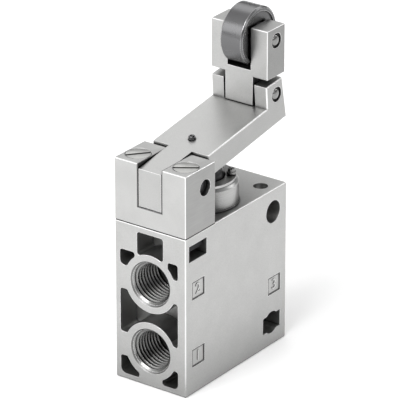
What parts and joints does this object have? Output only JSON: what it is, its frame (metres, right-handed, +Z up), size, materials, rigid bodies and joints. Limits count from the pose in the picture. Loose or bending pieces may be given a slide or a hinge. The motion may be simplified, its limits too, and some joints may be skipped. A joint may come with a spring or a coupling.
{
  "type": "switching valve",
  "caption": "Pneumatic switching valve worked by a one-way roller lever: slim cast body with threaded ports, slotted lever bracket, plunger and sliding spool inside.",
  "frame": {"origin": "middle of the valve body's flat bottom face", "axes": "+Z up along the plunger and the spool; +X across the narrow body; -Y out of the face with the supply and outlet ports"},
  "size_m": [0.025, 0.0566, 0.1031],
  "materials": {
    "die_cast_body": "die-cast aluminium, fine blasted satin, machined port faces",
    "milled_bracket": "milled aluminium, fine satin",
    "cast_lever": "cast light alloy, blasted satin",
    "cast_carrier": "cast light alloy, blasted satin",
    "turned_collar": "turned aluminium, fine turning lines",
    "wiper_ring": "stamped stainless steel",
    "plated_screw": "zinc-plated steel",
    "dark_screw": "blackened steel",
    "blackened_nut": "blackened steel",
    "ground_pin": "ground steel",
    "hardened_pad": "hardened steel",
    "burnished_roller": "burnished hardened steel",
    "bronze_bush": "sintered bronze",
    "spring_steel": "drawn spring wire",
    "plunger_acetal": "black acetal",
    "nitrile_rubber": "black nitrile rubber",
    "sleeve_aluminium": "turned aluminium",
    "spool_aluminium": "hard anodised and polished aluminium"
  },
  "bodies": {
    "housing": {"valve_body": "die_cast_body", "lever_bracket": "milled_bracket", "bracket_screws": "plated_screw", "bracket_nuts": "blackened_nut", "lever_pin": "ground_pin", "collar": "turned_collar", "wiper_plate": "wiper_ring", "wiper_plate_screws": "plated_screw", "plunger_wiper": "nitrile_rubber", "supply_cage": "sleeve_aluminium", "exhaust_cage": "sleeve_aluminium", "outlet_cage": "sleeve_aluminium", "spool_guide": "sleeve_aluminium", "spool_seals": "nitrile_rubber", "cage_seals": "nitrile_rubber", "return_spring": "spring_steel", "plunger_spring": "spring_steel"},
    "lever": {"lever": "cast_lever", "thrust_pad": "hardened_pad", "thrust_pad_screw": "dark_screw", "carrier_pin": "ground_pin", "carrier_spring": "spring_steel"},
    "carrier": {"roller_carrier": "cast_carrier", "roller_pin": "ground_pin"},
    "roller": {"roller": "burnished_roller", "roller_bush": "bronze_bush"},
    "plunger": {"plunger": "plunger_acetal", "spool": "spool_aluminium", "spool_plug": "sleeve_aluminium"}
  },
  "joints": [
    {"name": "lever_pivot", "type": "hinge", "parent": "housing", "child": "lever", "pos_m": [0, -0.0156, 0.0628], "axis": [-1, 0, 0], "range_deg": [0, 10.65], "stiffness_Nm_per_rad": 1.4, "springref_deg": -22.92},
    {"name": "plunger_slide", "type": "slide", "parent": "housing", "child": "plunger", "axis": [0, 0, -1], "range_m": [0, 0.003], "stiffness_N_per_m": 60, "springref_m": -0.004, "deforming": ["plunger_spring", "return_spring"]},
    {"name": "carrier_fold", "type": "hinge", "parent": "lever", "child": "carrier", "pos_m": [0, 0.0233, 0.07745], "axis": [-1, 0, 0], "range_deg": [0, 90], "stiffness_Nm_per_rad": 0.015, "springref_deg": -34.38, "deforming": ["carrier_spring"]},
    {"name": "roller_spin", "type": "hinge", "parent": "carrier", "child": "roller", "pos_m": [0, 0.0228, 0.0943], "axis": [1, 0, 0], "continuous": true}
  ],
  "couplings": [
    {"joint": "plunger_slide", "follows": "lever_pivot", "m_per_rad": 0.0161}
  ]
}
